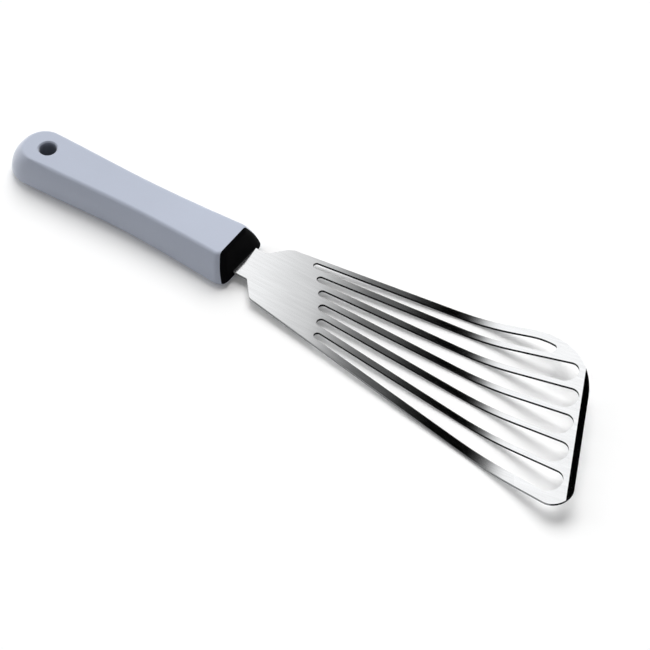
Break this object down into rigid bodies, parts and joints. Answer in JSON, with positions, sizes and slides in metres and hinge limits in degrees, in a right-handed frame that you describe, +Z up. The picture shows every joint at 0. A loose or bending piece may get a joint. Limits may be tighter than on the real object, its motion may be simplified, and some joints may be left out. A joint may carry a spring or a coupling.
{
  "type": "fish spatula",
  "caption": "Fish spatula: a thin steel blade with fanned slots, a skewed bevelled front edge and an upturned tip, moulded into a waisted plastic handle with a hanging hole.",
  "frame": {"origin": "on the hanging hole's axis, at the handle's underside", "axes": "+X along the handle to the blade's tip, +Y to the side of the blade's rounded front corner, +Z up out of the handle's flat top"},
  "size_m": [0.319, 0.0799, 0.0154],
  "materials": {
    "blade": "fine brushed stainless",
    "handle_core": "matte black",
    "handle_sleeve": "soft matte, pale blue-grey"
  },
  "bodies": {
    "root": {"blade": "blade", "handle_core": "handle_core", "handle_sleeve": "handle_sleeve"}
  },
  "joints": []
}
